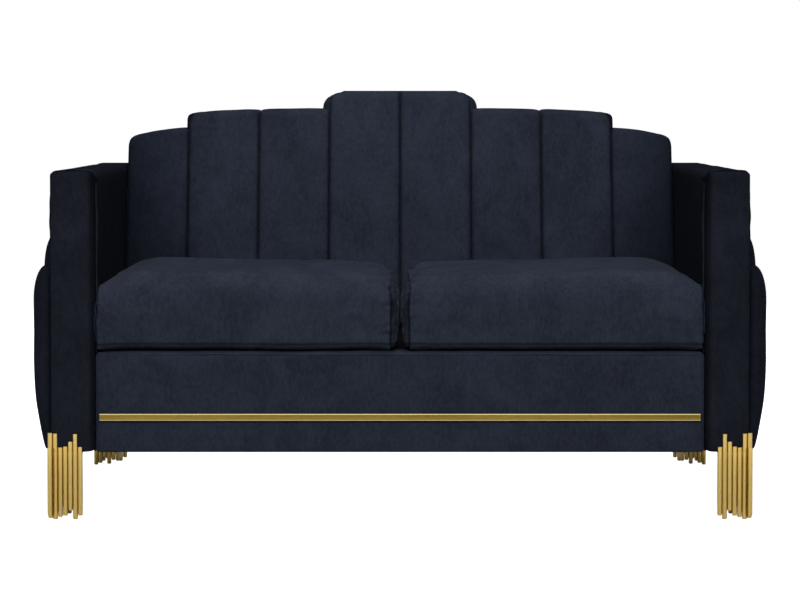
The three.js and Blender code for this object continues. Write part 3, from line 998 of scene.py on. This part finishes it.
def makeArmSleeve(side, label):
    corners = [(arm["inner"], arm["insideBottom"]), (arm["inner"], arm["top"]),
               (arm["outer"], arm["top"]), (arm["outer"], arm["bottom"])]
    at, length = roundedPath(corners, [0, arm["innerRound"], arm["outerRound"], 0])
    depth = arm["backEnd"] - arm["facing"]
    spacing = arm["spacing"][1]
    piece = addGrid(f"armSleeve_{label}", int(depth / spacing), int(length / spacing))
    points = readPoints(piece)
    u, v = points[:, 0], (points[:, 1] + 1) / 2
    if side > 0:
        v = 1 - v
    y, drop = rolledSection(u, depth, 5, 6)
    x, z, nx, nz = at(v)
    spot = np.stack([x, y, z], axis=1) / 1000
    wave = unevenness(spot, arm["sleeveWaves"], 31 + side)
    rise = drop + (wave - 1.2) * (drop > -3)
    crown = armCrown(x, z) * smoothStep(depth / 2 - y, 0, depth) * smoothStep(depth / 2 + y, -20, 12)
    x, z = x + nx * rise, z + nz * rise + crown
    y = y + (arm["backEnd"] + arm["facing"]) / 2
    x = x + arm["backPull"] * ridge(y, backDepth(z) + 3, 9) * (nx < -0.5)
    nearInside = 1 - smoothStep(x, arm["inner"], arm["inner"] + 50)
    nearTop = smoothStep(z, arm["top"] - 60, arm["top"])
    z = z - arm["dip"] * ridge(y, backDepth(z) + 16, 40) * nearInside * nearTop
    writePoints(piece, placed(side * x, y, z))
    # Painted shade on the inside face of the arm and, more lightly, on its top.
    inside = smoothStep(-nx, 0.4, 0.9) * (1 - smoothStep(z, arm["top"] - 30, arm["top"] + 4) * 0.6)
    paintShade(piece, inside * arm["innerShade"] + 0.2 * (1 - inside) * (np.abs(nx) < 0.7))
    thicken(piece, arm["sleeve"] * mm)
    nodes = [f"{n}_{label}" for n in ("inside_arm_pad", "outside_arm_panel", "arm_top_pad")]
    finishPiece(piece, "sofa_body", velvetArm, nodes)


sideChannel = {
    "tops": [529, 590, 651, 590, 529],
    "start": 24, "pitch": 156, "bottom": 141,
    "gap": 0.8,
    "bulge": 47,
    "footShare": 0.46,      # of the bulge, at the foot
    "fullAt": 0.55,         # share of the height where the bulge is full
    "turnAt": 0.8,          # and where it turns in to the top
    "sheet": 4, "across": 34, "spacing": 7,
    "waves": ((0.09, 1.5, 0), (0.035, 0.6, 4)),
}


def sideBulge(share):
    foot, turn = sideChannel["footShare"], sideChannel["turnAt"]
    lower = foot + (1 - foot) * (1 - (1 - np.clip(share / sideChannel["fullAt"], 0, 1)) ** 2.6)
    upper = np.sqrt(np.clip(1 - (np.clip(share - turn, 0, 1) / (1 - turn)) ** 2, 0, 1)) ** 0.62
    return sideChannel["bulge"] * lower * np.where(share < turn, 1, upper)


def makeSideChannels(side, label):
    for number, top in enumerate(sideChannel["tops"], 1):
        rows = int((top - sideChannel["bottom"]) / sideChannel["spacing"])
        piece = addGrid(f"sideChannel_{label}_{number}", sideChannel["across"], rows)
        points = readPoints(piece)
        u, v = points[:, 0] * side, (points[:, 1] + 1) / 2
        share = np.sin(math.pi / 2 * v)
        width = sideChannel["pitch"] - sideChannel["gap"]
        angle = math.pi * (u + 1) / 2
        y = sideChannel["start"] + (number - 0.5) * sideChannel["pitch"] - np.cos(angle) * width / 2
        z = sideChannel["bottom"] + (top - sideChannel["bottom"]) * share
        spot = np.stack([y, z, u * 0], axis=1) / 1000
        wave = unevenness(spot, sideChannel["waves"], 41 + number)
        section = np.sin(angle) ** 0.62
        x = arm["outer"] - 2 + (sideBulge(share) + 2 + wave * section) * section
        writePoints(piece, placed(side * x, y, z))
        # Painted shade in the valleys between the channels.
        paintShade(piece, np.exp(-np.sin(angle) * width / 2 / 6))
        thicken(piece, sideChannel["sheet"] * mm)
        finishPiece(piece, "sofa_body", velvetArm, [f"side_channel_{label}_{number}"])


for armSide, armLabel in ((-1, "left"), (1, "right")):
    makeArmFacing(armSide, armLabel)
    makeArmSleeve(armSide, armLabel)
    makeArmWelt(armSide, armLabel)
    makeSideChannels(armSide, armLabel)
print("arms are ready")


# ---- front border and trim ----

border = {
    "half": 635, "bottom": 138, "top": 346.5, "depth": 20,
    "roll": 6, "skirt": 10, "sheet": 7,
    "across": 210, "spacing": 9,
    "waves": ((0.12, 1.2, 0), (0.035, 0.4, 4)),
}
trim = {"round": 1.6}


def makeBorder():
    depth, bottom, top = border["depth"], border["bottom"], border["top"]
    at, length = roundedPath([(depth, bottom), (0, bottom), (0, top), (depth, top)], [0, 2.5, 7, 0])
    piece = addGrid("frontBorder", border["across"], int(length / border["spacing"]))
    points = readPoints(piece)
    u, v = points[:, 0], (points[:, 1] + 1) / 2
    x, drop = rolledSection(u, border["half"] * 2, border["roll"], border["skirt"])
    y, z, ny, nz = at(v)
    spot = np.stack([x, y, z], axis=1) / 1000
    wave = unevenness(spot, border["waves"], 51) * smoothStep(z, bottom, bottom + 20)
    rise = drop + (wave - 1) * (drop > -4)
    y, z = y + ny * rise, z + nz * rise
    writePoints(piece, placed(x, y, z))
    thicken(piece, border["sheet"] * mm)
    finishPiece(piece, "sofa_body", velvetBorder, ["front_border"])


def makeTrim():
    low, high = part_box("brass_trim_strip")
    piece = addBlock("trimStrip", low, high)
    bevelPlaces(piece, trim["round"] * mm, 3, lambda a, b: max(a.y, b.y) < low.y + 0.5 * mm)
    shadeSmooth(piece, 40)
    finishPiece(piece, "sofa_body", trimGold, ["brass_trim_strip"])


makeBorder()
makeTrim()
print("front border and trim are ready")


# ---- legs ----

leg = {
    "radius": 5, "pitch": 10.4, "perSide": 7, "outer": 734, "top": 139.6,
    "show": [(3, 181), (0, 180), (5, 151), (8, 153), (18, 163), (0, 179), (8, 152)],    # foot and tip
    "front": (9, 151),          # the rod that stands in front of the outermost one
    "hidden": [6, 14, 0, 9, 4, 17, 2, 11],      # feet of the rods under the sofa, in turn
    "tipRound": 1.1, "dome": 3.2,
    "clear": 0.4,               # from the arm's facing
    "press": 0.6,               # how far two brazed rods run into each other
    "core": (26, 134),          # bottom and top of the block inside, which carries the plate
}


def addRod(x, y, bottom, top):
    clearSelection()
    bpy.ops.mesh.primitive_cylinder_add(
        vertices=20, radius=leg["radius"] * mm, depth=(top - bottom) * mm,
        location=(x * mm, y * mm, (top + bottom) / 2 * mm))
    rod = bpy.context.object
    applyPlace(rod)
    level = 0.01 * mm
    middle = (bottom + top) / 2 * mm
    bevelPlaces(rod, leg["tipRound"] * mm, 2, lambda a, b: abs(a.z - b.z) < level and a.z > middle)
    bevelPlaces(rod, leg["dome"] * mm, 4, lambda a, b: abs(a.z - b.z) < level and a.z < middle)
    return rod


def makeLegMesh():
    reach = (leg["perSide"] - 1) * leg["pitch"]
    x0 = leg["outer"] - leg["radius"]
    y0 = frontY * 1000 - leg["radius"] - leg["clear"]
    rods = []
    for i, (bottom, top) in enumerate(leg["show"]):
        rods.append((x0 - i * leg["pitch"], y0, bottom, top))
    rods.append((x0, y0 - 2 * leg["radius"] + leg["press"], *leg["front"]))
    places = []
    for i in range(1, leg["perSide"]):
        places.append((x0, y0 + i * leg["pitch"]))
        places.append((x0 - reach + leg["pitch"], y0 + i * leg["pitch"]))
    for i in range(1, leg["perSide"] - 2):
        places.append((x0 - i * leg["pitch"], y0 + reach))
    for count, (x, y) in enumerate(places):
        rods.append((x, y, leg["hidden"][count % len(leg["hidden"])], leg["top"]))
    made = [addRod(*rod) for rod in rods]
    rim = leg["radius"] - 0.5
    innerX = x0 - reach + leg["pitch"]
    coreBottom, coreTop = leg["core"]
    core = addBlock("core", ((innerX + rim) * mm, (y0 + rim) * mm, coreBottom * mm),
                    ((x0 - rim) * mm, (y0 + reach - rim) * mm, coreTop * mm))
    plate = addBlock("plate", ((x0 - reach) * mm, y0 * mm, coreTop * mm),
                     (x0 * mm, (y0 + reach) * mm, leg["top"] * mm))
    clearSelection()
    for piece in [*made, core, plate]:
        piece.select_set(True)
    bpy.context.view_layer.objects.active = core
    bpy.ops.object.join()
    return core


def makeLegs():
    first = makeLegMesh()
    for sideX, labelX in ((1, "right"), (-1, "left")):
        for sideY, labelY in ((1, "front"), (-1, "rear")):
            piece = first if (sideX, sideY) == (1, 1) else bpy.data.objects.new("leg", first.data.copy())
            if piece is not first:
                bpy.context.scene.collection.objects.link(piece)
                points = readPoints(piece)
                writePoints(piece, points * [sideX, sideY, 1])
                if sideX * sideY < 0:
                    makeActive(piece)
                    bpy.ops.object.mode_set(mode="EDIT")
                    bpy.ops.mesh.select_all(action="SELECT")
                    bpy.ops.mesh.flip_normals()
                    bpy.ops.object.mode_set(mode="OBJECT")
            piece.name = f"legBundle_{labelY}_{labelX}"
            shadeSmooth(piece, 35)
            finishPiece(piece, "sofa_body", legGold, [f"leg_{labelY}_{labelX}"])


makeLegs()
print("legs are ready")


# ---- seat deck ----

deck = {
    "half": 631, "front": 2, "lip": 78, "rear": 528, "top": 350.4,
    "droop": 2.8,           # how far its front edge rolls down
    "droopEnd": 34,
    "edge": 1.6,            # the dip along each sheet's front and rear edge
    "wave": 0.6, "waveSize": 0.08,
    "sheet": 3, "across": 100, "spacing": 10, "fewestRows": 12,
}


def makeDeckSheet(name, near, far, material, nodes):
    piece = addGrid(name, deck["across"], max(deck["fewestRows"], int((far - near) / deck["spacing"])))
    points = readPoints(piece)
    x, y = points[:, 0] * deck["half"], near + (points[:, 1] + 1) / 2 * (far - near)
    drop = deck["edge"] * ridge(y, near, 3) + deck["edge"] * ridge(y, far, 3)
    wave = cloudiness(np.stack([x, y, x * 0], axis=1) / 1000, deck["waveSize"], 81) * deck["wave"]
    z = deck["top"] - drop - wave - 0.5
    z = z - deck["droop"] * (1 - smoothStep(y, deck["front"], deck["droopEnd"]))
    writePoints(piece, placed(x, y, z))
    thicken(piece, deck["sheet"] * mm)
    finishPiece(piece, "sofa_body", material, nodes)


makeDeckSheet("deckLip", deck["front"], deck["lip"], velvetSeat, [])
makeDeckSheet("seatDeck", deck["lip"] + 0.5, deck["rear"], blackCloth, ["seat_deck"])
print("seat deck is ready")


# ---- seat cushions ----

cushion = {
    "bottom": 351, "front": -4, "rear": 524,
    "inner": 2, "outer": 633.8,
    "press": (10, 20, 10, 9),   # how much fuller than its space at the inner end, outer end, rear and bottom
    "frontBulge": 6,            # past the arm, where the facing's edge rolls away
    "side": 503,            # height of the top along its edges
    "crown": 21,
    "voxel": 7,
    "shrink": 9,            # how much smaller it starts, before it is swollen
    "cap": 12,              # the furthest that any point swells
    "frontRound": 44, "topRound": 18, "cornerRound": 9, "bottomRound": 5,
    "seams": (17, 1),       # from the inner and the outer end to their seams
    "bottomSeam": 14,       # above its underside
    "tuck": 5,              # how far the strip under that seam slopes back
    "groove": 3, "grooveWidth": 2.6,
    "step": 1.8,            # how far the end panels lie under the main panel
    "lip": 1.2,             # the swell beside a seam
    "folds": (7, 4.5), "foldsReach": (26, 24),      # at the inner and the outer end
    "foldSize": 0.012, "foldStretch": 0.22,
    "waves": ((0.12, 3, 0), (0.045, 1, 2)),
    "outerFall": 32, "innerFall": 9, "endFall": 20,
    # painted shade at the seams, on the end panels and on the front face
    "seamShade": 0.8, "endShade": 0.7, "frontShade": 0.3,
}

cloth = {"pressure": 4, "quality": 4, "mass": 0.3, "frames": 20}


# Swells the block as stuffing does, by a short cloth simulation.
def inflate(piece):
    modifier = piece.modifiers.new("cloth", "CLOTH")
    settings = modifier.settings
    settings.use_pressure = True
    settings.uniform_pressure_force = cloth["pressure"]
    settings.effector_weights.gravity = 0
    settings.quality = cloth["quality"]
    settings.mass = cloth["mass"]
    modifier.point_cache.frame_end = cloth["frames"]
    before = readPoints(piece)
    scene = bpy.context.scene
    for frameNumber in range(1, cloth["frames"] + 1):
        scene.frame_set(frameNumber)
    makeActive(piece)
    bpy.ops.object.modifier_apply(modifier=modifier.name)
    scene.frame_set(1)
    after = readPoints(piece)
    move = after - before
    distance = np.linalg.norm(move, axis=1)
    limit = cushion["cap"] * mm
    scale = np.where(distance > limit, limit / np.maximum(distance, 1e-9), 1)
    writePoints(piece, before + move * scale[:, None])


# More faces where a narrow seam is going to be drawn in.
def refineSeams(piece):
    ends = [cushion["inner"] + cushion["seams"][0], cushion["outer"] - cushion["seams"][1]]
    height = cushion["bottom"] + cushion["bottomSeam"]
    makeActive(piece)
    bpy.ops.object.mode_set(mode="EDIT")
    bpy.ops.mesh.select_mode(type="FACE")
    bpy.ops.mesh.select_all(action="DESELECT")
    bpy.ops.object.mode_set(mode="OBJECT")
    for face in piece.data.polygons:
        x, z = abs(face.center.x) / mm, face.center.z / mm
        nearEnd = min(abs(x - end) for end in ends) < 9
        face.select = nearEnd or (abs(z - height) < 8 and face.normal.y < -0.3)
    bpy.ops.object.mode_set(mode="EDIT")
    bpy.ops.mesh.subdivide(number_cuts=1)
    bpy.ops.object.mode_set(mode="OBJECT")


# The end seams, the bottom seam and the small puckers that run into them, with painted shade at the seams,
# on the end panels and on the front face.
def sewCushion(piece, side):
    points = readPoints(piece) * 1000
    normals = readNormals(piece)
    x, y, z = points.T
    x = x * side
    innerSeam, outerSeam = cushion["inner"] + cushion["seams"][0], cushion["outer"] - cushion["seams"][1]
    drift = np.sin((z + y) / 19) * 0.8 + np.sin((z - y) / 7) * 0.35    # a sewn line is never quite straight
    fromSeams = np.abs(x + drift - innerSeam), np.abs(x + drift - outerSeam)
    bottomSeam = cushion["bottom"] + cushion["bottomSeam"]
    atSide = 1 - np.abs(normals[:, 2])
    spot = np.stack([x * cushion["foldStretch"], z, y], axis=1) / 1000
    folds = 0
    for seed, away, depth, reach in zip((61, 71), fromSeams, cushion["folds"], cushion["foldsReach"]):
        folds = folds + cloudiness(spot, cushion["foldSize"], seed + side) * np.exp(-away / reach) * depth
    soft = unevenness(points / 1000, cushion["waves"], 63 + side)
    within = np.minimum(x + drift - innerSeam, outerSeam - x - drift)      # negative on the end panels
    push = folds + soft - cushion["step"] * (1 - smoothStep(within, -2, 2))
    push -= cushion["groove"] * ridge(within, -1.5, cushion["grooveWidth"])
    push += cushion["lip"] * ridge(within, 4, 2.6)
    push -= cushion["groove"] * ridge(z, bottomSeam, cushion["grooveWidth"]) * atSide
    below = np.clip((bottomSeam - z) / (cushion["bottomSeam"] + 2), 0, 1)
    # Painted shade: in the seams, on the strip under the bottom seam, on the end panels and on the front
    # face, which is darker than the top.
    cushionShade = ridge(within, -1, 3) + ridge(z, bottomSeam - 1, 2.4) * atSide + below * atSide * 0.1
    cushionShade += cushion["endShade"] * (1 - smoothStep(x - innerSeam, -9, -1))
    cushionShade += cushion["frontShade"] * smoothStep(-normals[:, 1], 0.4, 0.95)
    push *= smoothStep(z, cushion["bottom"], cushion["bottom"] + 4)
    points = points + normals * push[:, None]
    points[:, 1] += cushion["tuck"] * below * (y < frontY * 1000 + 60)
    writePoints(piece, points * mm)
    paintShade(piece, cushionShade * cushion["seamShade"])


# Fits the swollen shape to its space: it presses flat against the arm, its neighbour, the back and the deck.
def fitCushion(points, side):
    x, y, z = points.T * 1000
    x = x * side
    near, far = frontY * 1000 + cushion["front"], frontY * 1000 + cushion["rear"]
    innerPress, outerPress, rearPress, bottomPress = cushion["press"]
    y = np.interp(y, [y.min(), y.max()], [near, far + rearPress])
    z = np.interp(z, [z.min(), z.max()], [cushion["bottom"] - bottomPress, cushion["side"]])
    x = np.interp(x, [x.min(), x.max()], [cushion["inner"] - innerPress, cushion["outer"] + outerPress])
    outer = cushion["outer"] + cushion["frontBulge"] * (1 - smoothStep(y, near + 12, near + 30))
    x = np.clip(x, cushion["inner"], outer)
    y = np.minimum(y, far)
    floor = cushion["bottom"] + 0.2 - deck["droop"] * (1 - smoothStep(y, near, near + 36))
    z = np.maximum(z, floor)
    return x, y, z, (y - near) / (far - near)


def makeCushion(side, label):
    shrink = cushion["shrink"]
    nearX, farX = sorted((side * (cushion["inner"] + shrink), side * (cushion["outer"] - shrink)))
    low = (nearX * mm, frontY + (cushion["front"] + shrink) * mm, (cushion["bottom"] + 3) * mm)
    high = (farX * mm, frontY + (cushion["rear"] - shrink) * mm, (cushion["side"] - shrink) * mm)
    piece = addBlock(f"seatCushion_{label}", low, high)

    def onTop(a, b):
        return min(a.z, b.z) > high[2] - mm

    bevelPlaces(piece, cushion["frontRound"] * mm, 7,
                lambda a, b: onTop(a, b) and max(a.y, b.y) < low[1] + mm)
    bevelPlaces(piece, cushion["topRound"] * mm, 4, lambda a, b: onTop(a, b) and abs(a.x - b.x) < mm)
    bevelPlaces(piece, cushion["cornerRound"] * mm, 4, lambda a, b: abs(a.z - b.z) > 50 * mm)
    bevelPlaces(piece, cushion["bottomRound"] * mm, 2, lambda a, b: max(a.z, b.z) < low[2] + mm)
    applyModifier(piece, "REMESH", mode="VOXEL", voxel_size=cushion["voxel"] * mm, use_smooth_shade=True)
    applyModifier(piece, "SMOOTH", factor=0.5, iterations=2)
    inflate(piece)
    x, y, z, depth = fitCushion(readPoints(piece), side)
    lift = np.clip((z - cushion["bottom"]) / (cushion["side"] - cushion["bottom"]), 0, 1)
    crown = cushion["crown"] * np.sin(math.pi * np.clip(depth * 0.96 + 0.02, 0, 1)) ** 0.55
    outerFall = cushion["outerFall"] * smoothStep(x, 530, 664) ** 1.3
    innerFall = cushion["innerFall"] * (1 - np.clip(x / 460, 0, 1)) ** 1.2
    endFall = cushion["endFall"] * (1 - smoothStep(x, -4, 60)) ** 1.5
    z = z + (crown - outerFall - innerFall - endFall) * lift ** 1.5
    writePoints(piece, np.stack([side * x * mm, y * mm, z * mm], axis=1))
    applyModifier(piece, "SUBSURF", levels=1, render_levels=1)
    refineSeams(piece)
    sewCushion(piece, side)
    shadeSmooth(piece)
    finishPiece(piece, f"cushion_{label}", velvetSeat, [f"seat_cushion_{label}"])


for cushionSide, cushionLabel in ((-1, "left"), (1, "right")):
    makeCushion(cushionSide, cushionLabel)
print("seat cushions are ready")
